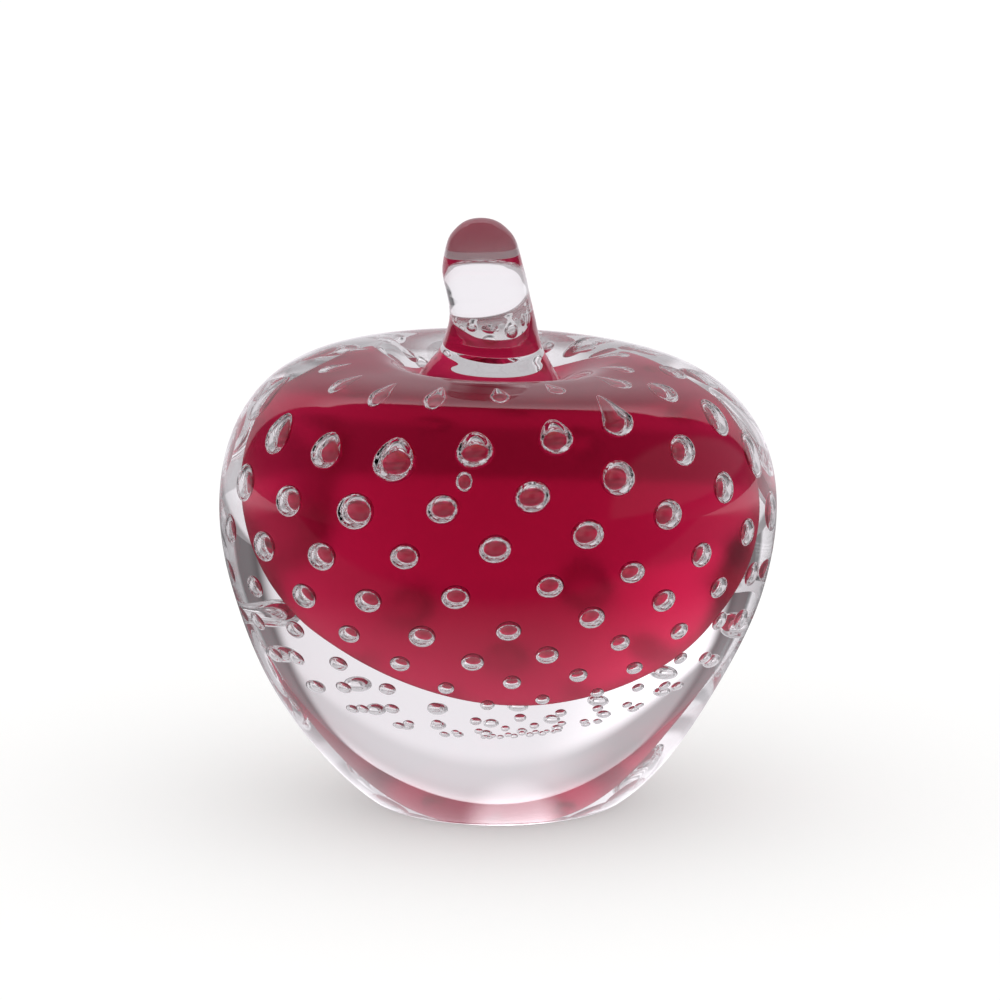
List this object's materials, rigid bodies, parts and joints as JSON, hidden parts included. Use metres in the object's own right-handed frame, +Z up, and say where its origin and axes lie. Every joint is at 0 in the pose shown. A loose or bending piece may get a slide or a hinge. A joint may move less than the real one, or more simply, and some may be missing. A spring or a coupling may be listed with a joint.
{
  "type": "glass apple paperweight",
  "caption": "Solid art glass apple: ruby core, staggered rings of trapped air bubbles, thick clear casing dimpled at the top, and a drawn clear stem. It stands on a flat ground base.",
  "frame": {"origin": "centre of the flat ground base, on the surface the apple stands on", "axes": "+Z up through the body and dimple; -Y is the front, the side seen in the picture; +X is to the viewer's right, so the stem leans towards -X"},
  "size_m": [0.092, 0.092, 0.0971],
  "materials": {
    "ruby_glass": "transparent ruby glass, enclosed",
    "clear_glass": "colourless soda-lime glass, fire-polished, base ground and polished"
  },
  "bodies": {
    "root": {"ruby_core": "ruby_glass", "bubble_gather": "clear_glass", "outer_casing": "clear_glass", "stem": "clear_glass"}
  },
  "joints": []
}
